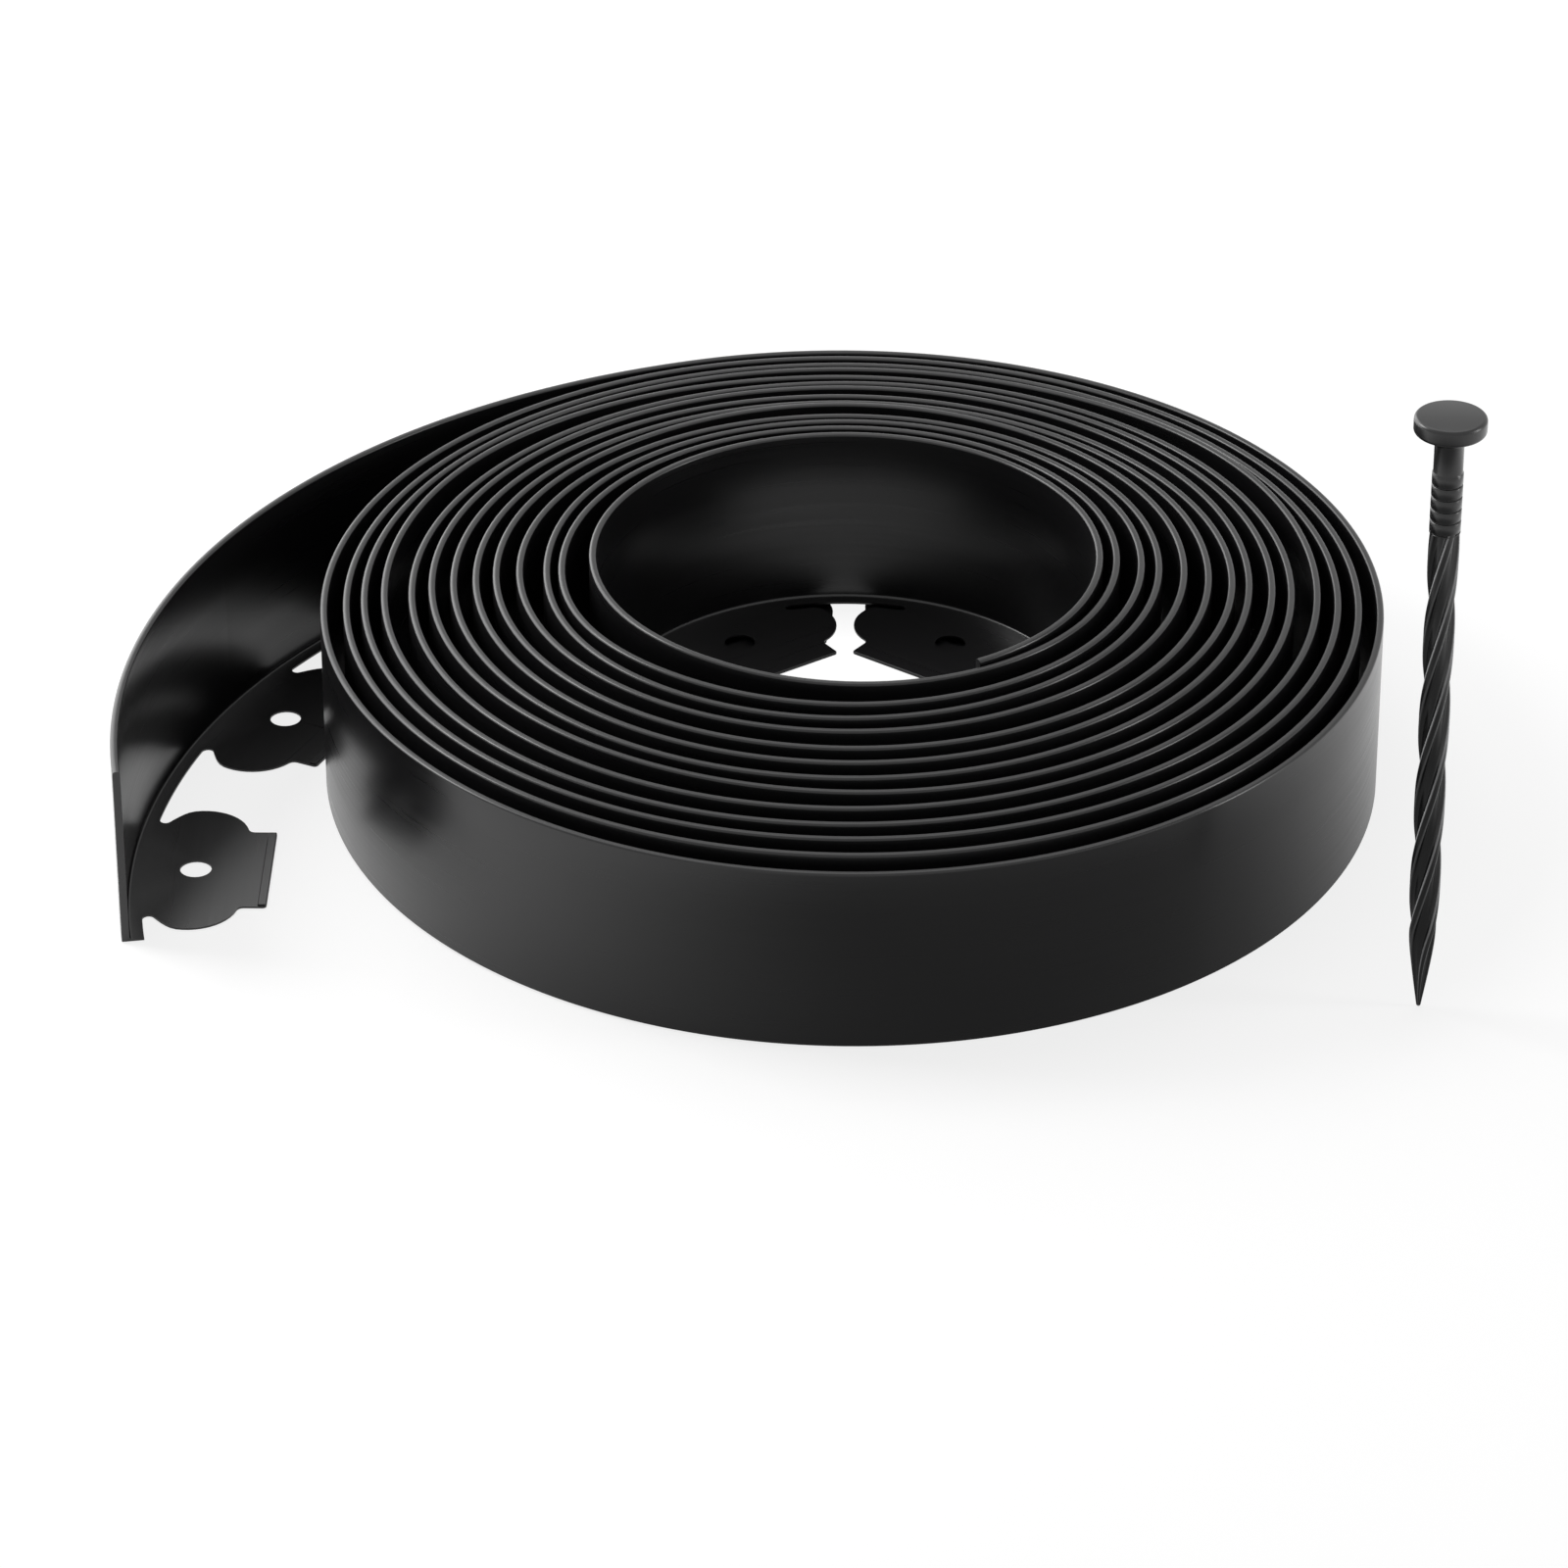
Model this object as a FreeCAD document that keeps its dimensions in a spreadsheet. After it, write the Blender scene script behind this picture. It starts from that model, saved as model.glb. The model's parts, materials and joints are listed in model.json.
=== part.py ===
import FreeCAD, Part
import Sketcher
import math
import os

# Landscape edging wound in a flat coil, with its free end swung out, and one anchor spike.
# Millimetres and degrees, +Z up. The edging is an L-shaped strip: an upright wall with a
# thin flange at its foot, which points to the coil's centre and is cut into tabs.

doc = FreeCAD.newDocument("lawn_edging")
sheet = doc.addObject("Spreadsheet::Sheet", "sizes")

# Driving dimensions: name, value, what it is
DRIVING = (
    ("strip_height", 61, "height of the upright wall"),
    ("wall_thickness", 2.4, "thickness of the upright wall"),
    ("flange_thickness", 0.6, "thickness of the foot and the tabs"),
    ("foot_width", 7, "width of the unbroken foot, from the wall's outer face"),
    ("tab_pitch", 108, "nominal distance between tabs, along the outer face"),
    ("tab_reach", 47, "how far a tab reaches in from the wall's outer face"),
    ("tab_half_width", 22.5, "half the width of a tab's straight end"),
    ("ear_radius", 15.3, "radius of the two round ears of a tab"),
    ("ear_offset", 20.3, "distance of an ear's centre from the tab's middle line"),
    ("tab_rounding", 2.2, "radius in the notch beside an ear and in its shoulder, on the free end"),
    ("hole_inset", 23, "distance of the anchor hole and the ears from the wall's outer face"),
    ("hole_radius", 5, "radius of the anchor hole"),
    ("lip_width", 2.7, "width of the raised lip along a tab's end"),
    ("lip_rise", 0.3, "height of the lip above the tab"),
    ("coil_radius", 173.7, "outer face of the outermost turn, where the free end leaves it"),
    ("core_radius", 81.8, "outer face of the innermost turn"),
    ("winding_turns", 13.458, "turns from there to the strip's inner end"),
    ("core_turns", 0.833, "share of the winding that lies round on the core radius"),
    ("core_step", 3.4, "extra step of the wall where the round core begins"),
    ("layer_gap", 0.62, "height left free above a flange for the next turn, on average"),
    ("ramp_start", 190, "winding angle where the first turn leaves the ground"),
    ("ramp_end", 280, "winding angle where the first turn clears the free end's tabs"),
    ("tab_gap_azimuth", 89.5, "azimuth at which a gap between tabs lines up in every turn"),
    ("tangent_azimuth", 104.9, "azimuth at which the free end leaves the coil"),
    ("free_end_radius", 247, "radius of the free end, at the wall's outer face"),
    ("first_tab_azimuth", 179.2, "direction of the first tab from the free end's centre"),
    ("cut_end_azimuth", 189.2, "direction of the strip's cut end from the free end's centre"),
    ("flex_slit", 0.2, "width of the slit between two pieces of the free end"),
    ("spike_away_x", 174, "place of the spike's point beside the coil's centre"),
    ("spike_away_y", -147, "place of the spike's point in front of the coil's centre"),
    ("spike_length", 203, "length of the spike, head and point included"),
    ("spike_head_radius", 10.8, "radius of the spike's flat head"),
    ("spike_head_rim", 5.4, "height of the head's upright rim"),
    ("spike_head_height", 8.2, "height of the whole head, with its sloping underside"),
    ("spike_head_chamfer", 1.2, "chamfer of the head's edges"),
    ("spike_shank_radius", 4.4, "radius of the plain shank"),
    ("spike_shank_height", 10, "height of the plain shank, under the head"),
    ("spike_band_radius", 4.65, "radius of the ringed part of the shank"),
    ("spike_band_height", 20, "height of the ringed part of the shank"),
    ("spike_ring_depth", 0.4, "depth of a ring groove"),
    ("spike_ring_pitch", 3.9, "distance between ring grooves"),
    ("spike_rib_radius", 4.6, "radius over the twisted ribs"),
    ("spike_core_radius", 3.0, "radius of the core between the ribs"),
    ("spike_groove_base", 0.5, "radius at which a groove's cut begins, under the core"),
    ("spike_groove_rise", 18.4, "height of a groove between two ribs, along the axis"),
    ("spike_lead", 112, "height of one full turn of a rib"),
    ("spike_point_height", 29, "height of the tapered point"),
    ("spike_tip_radius", 0.7, "radius of the blunt end of the point"),
)
for row, (name, value, meaning) in enumerate(DRIVING, start=1):
    sheet.set("A%d" % row, name)
    sheet.set("B%d" % row, str(value))
    sheet.set("C%d" % row, meaning)
    sheet.setAlias("B%d" % row, name)
doc.recompute()


def size(name):
    return float(sheet.get(name))


def flat(x, y):
    return FreeCAD.Vector(x, y, 0)


UP = FreeCAD.Vector(0, 0, 1)
wall = size("wall_thickness")
flange = size("flange_thickness")
tangent_azimuth = size("tangent_azimuth")

# The path of the strip
# A winding angle runs clockwise and inward from the point where the free end leaves the
# coil: it is negative on the free end, and grows by 360 with each turn of the coil.
inner_end = 360 * size("winding_turns")
core_start = size("winding_turns") - size("core_turns")
turn_pitch = (size("coil_radius") - size("core_radius") - size("core_step")) / core_start

# Where hand winding pressed a turn in or out: turn, half width in turns, push outward
PRESSED = (
    (0.75, 0.25, -1.2),
    (3.19, 0.07, 2.6),
    (3.90, 0.08, 2.8),
    (5.62, 0.10, -2.2),
    (7.30, 0.09, 2.3),
    (9.04, 0.08, 2.6),
    (10.80, 0.08, -2.0),
    (11.72, 0.07, 2.0),
)
# Slow unevenness of the winding: size, cycles in a turn, phase in radians
UNEVEN = ((0.55, 0.37, 0.4), (0.4, 1.31, 2.0), (0.25, 2.17, 1.0))
EASE_TURNS = 0.5
CORE_STEP_TURNS = 0.25


def wall_radius(turn):
    """Radius of the wall's outer face after so many turns."""
    before_core = core_start - turn
    if before_core <= 0:
        return size("core_radius")
    step = size("core_step") * min(1, before_core / CORE_STEP_TURNS)
    radius = size("core_radius") + turn_pitch * before_core + step
    ease = min(1, turn / EASE_TURNS, before_core / EASE_TURNS)
    for place, width, push in PRESSED:
        radius += push * math.exp(-((turn - place) / width) ** 2)
    for amount, cycles, phase in UNEVEN:
        radius += ease * amount * math.sin(2 * math.pi * cycles * turn + phase)
    return radius


def strip_level(angle):
    """Height of the strip's underside: each turn stands on the flange of the one outside it.

    The innermost, round turn lies level.
    """
    if angle >= 360 * core_start:
        angle = inner_end
    lift = flange + size("layer_gap")
    start = size("ramp_start")
    end = size("ramp_end")
    if angle <= start:
        return 0
    if angle <= end:
        share = (angle - start) / (end - start)
        return lift * share * share * (3 - 2 * share)
    return lift * (1 + (angle - end) / 360)


coil_start_out = flat(math.cos(math.radians(tangent_azimuth)), math.sin(math.radians(tangent_azimuth)))
free_end_centre = coil_start_out * (wall_radius(0) - size("free_end_radius"))

# Degrees over which the direction of travel is taken
TRAVEL_STEP = 0.5


def strip_frame(angle):
    """Point on the wall's outer face, direction of travel and direction inward."""
    azimuth = math.radians(tangent_azimuth - angle)
    out = flat(math.cos(azimuth), math.sin(azimuth))
    travel = flat(math.sin(azimuth), -math.cos(azimuth))
    if angle < 0:
        return free_end_centre + out * size("free_end_radius"), travel, -out
    point = out * wall_radius(angle / 360)
    if angle > 0:
        ahead = math.radians(tangent_azimuth - angle - TRAVEL_STEP)
        next_point = flat(math.cos(ahead), math.sin(ahead)) * wall_radius((angle + TRAVEL_STEP) / 360)
        travel = (next_point - point).normalize()
    return point, travel, flat(travel.y, -travel.x)


def strip_point(angle, inset):
    point, travel, inward = strip_frame(angle)
    return point + inward * inset


def strip_arc(start, end, inset):
    middle = (start + end) / 2
    three_points = [strip_point(angle, inset) for angle in (start, middle, end)]
    return Part.Arc(*three_points).toShape()


def notch_point(foot, ear_centre, away_from):
    """Where an ear's circle meets the foot's inner edge, on the side away from a point."""
    offset = ear_centre - foot.Center
    distance = offset.Length
    along = (distance ** 2 + foot.Radius ** 2 - size("ear_radius") ** 2) / (2 * distance)
    aside = math.sqrt(max(foot.Radius ** 2 - along ** 2, 0))
    middle = foot.Center + offset * (along / distance)
    side = flat(-offset.y, offset.x) * (aside / distance)
    return max((middle + side, middle - side), key=lambda point: (point - away_from).Length)


def tab_edges(tab_angle, foot_ahead, foot_behind, round_ears):
    """Edges of a tab from its notch ahead to its notch behind, and those two points.

    The ears are round, or come to a corner on the tabs that other turns cover.
    """
    origin, travel, inward = strip_frame(tab_angle)
    hole_centre = origin + inward * size("hole_inset")
    lean = size("ear_offset") - size("tab_half_width")
    shoulder = size("hole_inset") + math.sqrt(size("ear_radius") ** 2 - lean ** 2)
    edges = []
    notches = []
    ends = []
    for side, foot in ((1, foot_ahead), (-1, foot_behind)):
        ear_centre = hole_centre + travel * (side * size("ear_offset"))
        notch = notch_point(foot, ear_centre, hole_centre)
        shoulder_point = origin + travel * (side * size("tab_half_width")) + inward * shoulder
        end_point = origin + travel * (side * size("tab_half_width")) + inward * size("tab_reach")
        outmost = ear_centre + travel * (side * size("ear_radius"))
        if round_ears:
            ear = [Part.Arc(notch, outmost, shoulder_point).toShape()]
        else:
            corners = [notch, outmost, shoulder_point]
            ear = [Part.makeLine(*pair) for pair in zip(corners, corners[1:])]
        ear.append(Part.makeLine(shoulder_point, end_point))
        edges.append(ear)
        notches.append(notch)
        ends.append(end_point)
    tip = [Part.makeLine(ends[0], ends[1])]
    return edges[0] + tip + edges[1][::-1], notches


def anchor_hole(tab_angle):
    """Outline of the round hole for a spike."""
    origin, travel, inward = strip_frame(tab_angle)
    return Part.Wire([Part.makeCircle(size("hole_radius"), origin + inward * size("hole_inset"), UP)])


def strip_unit(start, middle, end, tab_angle, fine):
    """One length of the strip, with one tab: its wall and its flange.

    The tabs that other turns cover are drawn plainer, with no hole.
    """
    foot_width = size("foot_width")
    foot_behind = strip_arc(start, middle, foot_width).Curve
    foot_ahead = strip_arc(middle, end, foot_width).Curve
    tab, notches = tab_edges(tab_angle, foot_ahead, foot_behind, fine)
    outer = [strip_arc(start, middle, 0), strip_arc(middle, end, 0)]
    flange_edges = outer + [Part.makeLine(strip_point(end, 0), strip_point(end, foot_width))]
    flange_edges.append(Part.makeLine(strip_point(end, foot_width), notches[0]))
    flange_edges += tab
    flange_edges.append(Part.makeLine(notches[1], strip_point(start, foot_width)))
    flange_edges.append(Part.makeLine(strip_point(start, foot_width), strip_point(start, 0)))
    flange_wires = [Part.Wire(flange_edges)]
    if fine:
        flange_wires.append(anchor_hole(tab_angle))
    flange_plate = Part.makeFace(flange_wires, "Part::FaceMakerBullseye").extrude(UP * flange)
    wall_edges = outer + [Part.makeLine(strip_point(end, 0), strip_point(end, wall))]
    wall_edges.append(strip_arc(middle, end, wall))
    wall_edges.append(strip_arc(start, middle, wall))
    wall_edges.append(Part.makeLine(strip_point(start, wall), strip_point(start, 0)))
    wall_plate = Part.Face(Part.Wire(wall_edges)).extrude(UP * size("strip_height"))
    unit = flange_plate.fuse(wall_plate).removeSplitter()
    unit.translate(UP * strip_level(max(middle, 0)))
    return unit


# Where the tabs lie
# On the free end they follow the nominal pitch. In the coil every turn takes a whole
# number of tabs, as near the pitch as it can, with a gap lined up at one azimuth.
pitch_angle = math.degrees(size("tab_pitch") / size("free_end_radius"))
slit_angle = math.degrees(size("flex_slit") / size("free_end_radius"))
first_coil_tab = size("first_tab_azimuth") - 3 * pitch_angle
coil_seam = first_coil_tab + pitch_angle / 2
units = []
free_part = tangent_azimuth - coil_seam
first_gap = tangent_azimuth - size("tab_gap_azimuth")
free_length = math.radians(-free_part) * size("free_end_radius")
round_length = math.radians(first_gap) * wall_radius(0)
half_length = (free_length + round_length) / 2
first_tab_angle = math.degrees((half_length - free_length) / size("free_end_radius"))
units.append((free_part + slit_angle / 2, 0, first_gap, first_tab_angle))
turn_start = first_gap
while turn_start < inner_end:
    middle_radius = wall_radius((turn_start + 180) / 360)
    tab_count = round(2 * math.pi * middle_radius / size("tab_pitch"))
    unit_angle = 360 / tab_count
    for index in range(tab_count):
        start = turn_start + index * unit_angle
        end = start + unit_angle
        middle = start + unit_angle / 2
        if middle > inner_end:
            break
        if end + unit_angle / 2 > inner_end:
            end = inner_end
        if middle + unit_angle / 4 < end:
            units.append((start, middle, end, middle))
    turn_start += 360

# The coil
FINE_TABS = 6
solids = []
for index, (start, middle, end, tab_angle) in enumerate(units):
    fine = index >= len(units) - FINE_TABS
    solids.append(strip_unit(start, middle, end, tab_angle, fine))
coil_shape = solids[0].multiFuse(solids[1:])
coil = doc.addObject("Part::Feature", "edging_coil")
coil.Label = "edging_coil"
coil.Shape = coil_shape.Solids[0] if len(coil_shape.Solids) == 1 else coil_shape

# Least gap between neighbouring turns, side to side on points of both faces, and upward
SAMPLES = 40
NEAR_DEGREES = 3
inner_points = []
outer_points = {}
for start, middle, end, tab_angle in units:
    for first, last in ((start, middle), (middle, end)):
        for inset in (0, wall):
            for point in strip_arc(first, last, inset).discretize(SAMPLES):
                angle = tangent_azimuth - math.degrees(math.atan2(point.y, point.x))
                angle += 360 * round(((first + last) / 2 - angle) / 360)
                if inset:
                    inner_points.append((round(angle), point))
                else:
                    outer_points.setdefault(round(angle), []).append(point)
side_gap = min(
    (point - next_point).Length
    for degree, point in inner_points
    for next_degree in range(degree + 360 - NEAR_DEGREES, degree + 360 + NEAR_DEGREES)
    for next_point in outer_points.get(next_degree, ())
)
upward_gap = None
for start, middle, end, tab_angle in units:
    reach = math.degrees(size("tab_half_width") / (wall_radius(max(tab_angle, 0) / 360) - size("foot_width")))
    for next_start, next_middle, next_end, next_tab in units:
        over = min(tab_angle + 360 + reach, next_end) - max(tab_angle + 360 - reach, next_start)
        if over > 0:
            rise = strip_level(next_middle) - strip_level(max(middle, 0)) - flange
            upward_gap = rise if upward_gap is None else min(upward_gap, rise)
strip_length = math.radians(size("cut_end_azimuth") - tangent_azimuth) * size("free_end_radius")
strip_length += sum(math.radians(1) * wall_radius((angle + 0.5) / 360) for angle in range(round(inner_end)))
print("length of the strip, mm: %.0f" % strip_length)
print("tabs in the coil: %d, solids in the coil: %d" % (len(units), len(coil_shape.Solids)))
print("least gap between turns, mm: %.2f sideways, %.2f upward" % (side_gap, upward_gap))


# The free end
# Three lengths of the same strip with one tab each, divided in the gaps between tabs,
# where the strip flexes. Each is drawn about the free end's centre with its tab on +X.
def bound(kind, name, **expressions):
    thing = doc.addObject(kind, name)
    for key, expression in expressions.items():
        thing.setExpression(key.replace("__", "."), expression)
    return thing


# How far a cutting tool stands out above and below what it cuts
SPARE = 1


def ring_slice(name, outer, inner, height, start_angle, span):
    """Part of a ring, from one angle over a span, as a sector with its inside cut out."""
    sector = bound("Part::Cylinder", name + "_sector", Radius=outer, Height=height)
    sector.Angle = span
    sector.Placement = FreeCAD.Placement(flat(0, 0), FreeCAD.Rotation(UP, start_angle))
    inside_height = "%s + %d" % (height, 2 * SPARE)
    inside = bound("Part::Cylinder", name + "_inside", Radius=inner, Height=inside_height)
    inside.Placement.Base = UP * -SPARE
    cut = doc.addObject("Part::Cut", name)
    cut.Base = sector
    cut.Tool = inside
    return cut


# How near an edge must be to the place or the radius that is looked for
NEAR = 0.01


def tab_corners():
    """Points of the notch and the shoulder at each side of a tab, with the tab on +X."""
    foot_edge = Part.Circle(flat(0, 0), UP, size("free_end_radius") - size("foot_width"))
    hole_centre = flat(size("free_end_radius") - size("hole_inset"), 0)
    lean = size("ear_offset") - size("tab_half_width")
    shoulder = hole_centre.x - math.sqrt(size("ear_radius") ** 2 - lean ** 2)
    corners = []
    for side in (1, -1):
        ear_centre = hole_centre + flat(0, side * size("ear_offset"))
        corners.append(notch_point(foot_edge, ear_centre, hole_centre))
        corners.append(flat(shoulder, side * size("tab_half_width")))
    return corners


def upright_edges(shape, corners):
    """Numbers of the upright edges of a shape that stand at some points."""
    numbers = []
    for number, edge in enumerate(shape.Edges, start=1):
        ends = [flat(vertex.X, vertex.Y) for vertex in edge.Vertexes]
        if any(max((end - corner).Length for end in ends) < NEAR for corner in corners):
            numbers.append(number)
    return numbers


def free_length_piece(label, start_angle, end_angle):
    """One length of the free end, from one angle to another about its tab's direction."""
    span = end_angle - start_angle
    thick = "sizes.flange_thickness"
    upright = ring_slice(
        label + "_wall",
        "sizes.free_end_radius",
        "sizes.free_end_radius - sizes.wall_thickness",
        "sizes.strip_height",
        start_angle,
        span,
    )
    foot = ring_slice(
        label + "_foot",
        "sizes.free_end_radius",
        "sizes.free_end_radius - sizes.foot_width",
        thick,
        start_angle,
        span,
    )
    pieces = [upright, foot]
    for side, sign in (("ahead", ""), ("behind", "-")):
        ear = bound("Part::Cylinder", label + "_ear_" + side, Radius="sizes.ear_radius", Height=thick)
        ear.setExpression("Placement.Base.x", "sizes.free_end_radius - sizes.hole_inset")
        ear.setExpression("Placement.Base.y", sign + "sizes.ear_offset")
        pieces.append(ear)
    tongue = bound(
        "Part::Box",
        label + "_tongue",
        Length="sizes.tab_reach - sizes.foot_width / 2",
        Width="2 * sizes.tab_half_width",
        Height=thick,
    )
    lip = bound(
        "Part::Box",
        label + "_lip",
        Length="sizes.lip_width",
        Width="2 * sizes.tab_half_width",
        Height=thick + " + sizes.lip_rise",
    )
    for box in (tongue, lip):
        box.setExpression("Placement.Base.x", "sizes.free_end_radius - sizes.tab_reach")
        box.setExpression("Placement.Base.y", "-sizes.tab_half_width")
        pieces.append(box)
    blank = doc.addObject("Part::MultiFuse", label + "_blank")
    blank.Shapes = pieces
    blank.Refine = True
    doc.recompute()
    rounded = doc.addObject("Part::Fillet", label + "_rounded")
    rounded.Base = blank
    rounding = size("tab_rounding")
    rounded.Edges = [(number, rounding, rounding) for number in upright_edges(blank.Shape, tab_corners())]
    hole_height = "%s + %d" % (thick, 2 * SPARE)
    hole = bound("Part::Cylinder", label + "_hole", Radius="sizes.hole_radius", Height=hole_height)
    hole.setExpression("Placement.Base.x", "sizes.free_end_radius - sizes.hole_inset")
    hole.Placement.Base.z = -SPARE
    piece = doc.addObject("Part::Cut", label)
    piece.Label = label
    piece.Base = rounded
    piece.Tool = hole
    return piece


half_gap = slit_angle / 2
cut_end = size("cut_end_azimuth") - size("first_tab_azimuth")
half_pitch = pitch_angle / 2
free_pieces = []
for index, label in enumerate(("free_end_tip", "free_end_middle", "free_end_near")):
    end_angle = cut_end if index == 0 else half_pitch - half_gap
    piece = free_length_piece(label, half_gap - half_pitch, end_angle)
    azimuth = size("first_tab_azimuth") - index * pitch_angle
    free_pieces.append((piece, azimuth))


# The anchor spike
# A moulded spike: flat head, plain shank, ringed band, four twisted ribs and a point.
def origin_part(body, role):
    return next(part for part in body.Origin.OriginFeatures if part.Role == role)


def measure(words):
    """Value of a sum of sheet names, such as 'spike_length - spike_head_rim'."""
    total = 0
    sign = 1
    for word in words.split():
        if word in "+-":
            sign = 1 if word == "+" else -1
        else:
            total += sign * size(word)
    return total


def in_sheet(words):
    return " ".join(word if word in "+-" else "sizes." + word for word in words.split())


def profile_sketch(body, name, corners):
    """Closed profile beside the axis, with every corner bound to the sheet."""
    sketch = body.newObject("Sketcher::SketchObject", name)
    sketch.AttachmentSupport = [(origin_part(body, "XZ_Plane"), "")]
    sketch.MapMode = "FlatFace"
    places = [flat(measure(across), measure(upward)) for across, upward in corners]
    for place, next_place in zip(places, places[1:] + places[:1]):
        sketch.addGeometry(Part.LineSegment(place, next_place), False)
    for index, (across, upward) in enumerate(corners):
        following = (index + 1) % len(corners)
        sketch.addConstraint(Sketcher.Constraint("Coincident", index, 2, following, 1))
        for kind, axis, words in (("DistanceX", -2, across), ("DistanceY", -1, upward)):
            if words:
                number = sketch.addConstraint(Sketcher.Constraint(kind, -1, 1, index, 1, measure(words)))
                sketch.setExpression("Constraints[%d]" % number, in_sheet(words))
            else:
                sketch.addConstraint(Sketcher.Constraint("PointOnObject", index, 1, axis))
    return sketch


def turned(body, kind, name, sketch):
    feature = body.newObject(kind, name)
    feature.Profile = sketch
    feature.ReferenceAxis = (sketch, ["V_Axis"])
    return feature


RIB_COUNT = 4
BAND_TOP = "spike_length - spike_head_height - spike_shank_height"
BAND_BASE = BAND_TOP + " - spike_band_height"
spike = doc.addObject("PartDesign::Body", "anchor_spike")
spike.Label = "anchor_spike"

# The blank that the ribs are left standing on: a rod with a tapered point
rod_sketch = profile_sketch(spike, "rod_profile", (
    ("", ""),
    ("spike_tip_radius", ""),
    ("spike_rib_radius", "spike_point_height"),
    ("spike_rib_radius", BAND_BASE),
    ("", BAND_BASE),
))
rod = turned(spike, "PartDesign::Revolution", "rod", rod_sketch)
doc.recompute()

# One of the twisted grooves between the ribs, from below the point to the top of the ribs
groove_sketch = profile_sketch(spike, "groove_profile", (
    ("spike_groove_base", ""),
    ("spike_band_radius", ""),
    ("spike_band_radius", "spike_groove_rise"),
    ("spike_groove_base", "spike_groove_rise"),
))
groove_sketch.setExpression("AttachmentOffset.Base.y", "-sizes.spike_lead / 4")
groove = turned(spike, "PartDesign::SubtractiveHelix", "twisted_groove", groove_sketch)
groove.Mode = 0
groove.setExpression("Pitch", "sizes.spike_lead")
groove.setExpression("Height", in_sheet(BAND_BASE) + " + sizes.spike_lead / 4")
doc.recompute()
grooves = spike.newObject("PartDesign::PolarPattern", "twisted_grooves")
grooves.Originals = [groove]
grooves.Axis = (origin_part(spike, "Z_Axis"), [""])
grooves.Angle = 360
grooves.Occurrences = RIB_COUNT
spike.Tip = grooves
doc.recompute()

# The core between the ribs, the ringed band, the plain shank and the head
core_sketch = profile_sketch(spike, "core_profile", (
    ("", ""),
    ("spike_groove_base", ""),
    ("spike_core_radius", "spike_point_height"),
    ("spike_core_radius", BAND_BASE),
    ("spike_band_radius", BAND_BASE),
    ("spike_band_radius", BAND_TOP),
    ("spike_shank_radius", BAND_TOP),
    ("spike_shank_radius", "spike_length - spike_head_height"),
    ("spike_head_radius", "spike_length - spike_head_rim"),
    ("spike_head_radius", "spike_length"),
    ("", "spike_length"),
))
core = turned(spike, "PartDesign::Revolution", "core_and_head", core_sketch)
doc.recompute()

# Ring grooves round the band
ring_sketch = profile_sketch(spike, "ring_profile", (
    ("spike_band_radius - spike_ring_depth", BAND_TOP + " - spike_ring_pitch"),
    ("spike_band_radius + spike_ring_depth", BAND_TOP + " - spike_ring_pitch - spike_ring_depth"),
    ("spike_band_radius + spike_ring_depth", BAND_TOP + " - spike_ring_pitch + spike_ring_depth"),
))
ring = turned(spike, "PartDesign::Groove", "ring_groove", ring_sketch)
doc.recompute()
RING_COUNT = 5
rings = spike.newObject("PartDesign::LinearPattern", "ring_grooves")
rings.Originals = [ring]
rings.Direction = (origin_part(spike, "Z_Axis"), [""])
rings.Reversed = True
rings.setExpression("Length", "%d * sizes.spike_ring_pitch" % (RING_COUNT - 1))
rings.Occurrences = RING_COUNT
spike.Tip = rings
doc.recompute()

# Chamfered edges of the head
head_edges = []
for number, edge in enumerate(rings.Shape.Edges, start=1):
    if abs(getattr(edge.Curve, "Radius", 0) - size("spike_head_radius")) < NEAR:
        head_edges.append("Edge%d" % number)
chamfer = spike.newObject("PartDesign::Chamfer", "head_chamfer")
chamfer.Base = (rings, head_edges)
chamfer.setExpression("Size", "sizes.spike_head_chamfer")
spike.Tip = chamfer
doc.recompute()

# Places
# The origin is the middle of the whole set's footprint, on the ground.
pieces = [coil, spike] + [piece for piece, azimuth in free_pieces]
spike.Placement.Base = flat(size("spike_away_x"), size("spike_away_y"))
for piece, azimuth in free_pieces:
    piece.Placement = FreeCAD.Placement(free_end_centre, FreeCAD.Rotation(UP, azimuth))
whole = FreeCAD.BoundBox()
for piece in pieces:
    whole.add(piece.Shape.optimalBoundingBox(False))
shift = flat(-whole.Center.x, -whole.Center.y) - UP * whole.ZMin
for piece in pieces:
    piece.Placement.Base += shift
doc.recompute()

for thing in doc.Objects:
    if "Invalid" in thing.State or "Error" in thing.State:
        raise RuntimeError(thing.Name + " did not build")
for piece in pieces:
    if piece.Shape.isNull() or not piece.Shape.isValid() or len(piece.Shape.Solids) != 1:
        raise RuntimeError(piece.Label + " is not one valid solid")

print("coil centre, mm: %.2f %.2f" % (shift.x, shift.y))
print("whole set, mm: %.1f x %.1f x %.1f" % (whole.XLength, whole.YLength, whole.ZLength))
for piece, azimuth in free_pieces:
    direction = math.radians(azimuth)
    hole_radius = size("free_end_radius") - size("hole_inset")
    hole = piece.Placement.Base + flat(math.cos(direction), math.sin(direction)) * hole_radius
    direction = math.radians(azimuth - half_pitch)
    hinge = piece.Placement.Base + flat(math.cos(direction), math.sin(direction)) * size("free_end_radius")
    print("%s hole %.2f %.2f hinge %.2f %.2f" % (piece.Label, hole.x, hole.y, hinge.x, hinge.y))

os.makedirs("parts", exist_ok=True)
for piece in pieces:
    piece.Shape.exportStep("parts/%s.step" % piece.Label)
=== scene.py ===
import json
import math

import bmesh
import bpy
from mathutils import Matrix, Vector


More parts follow.
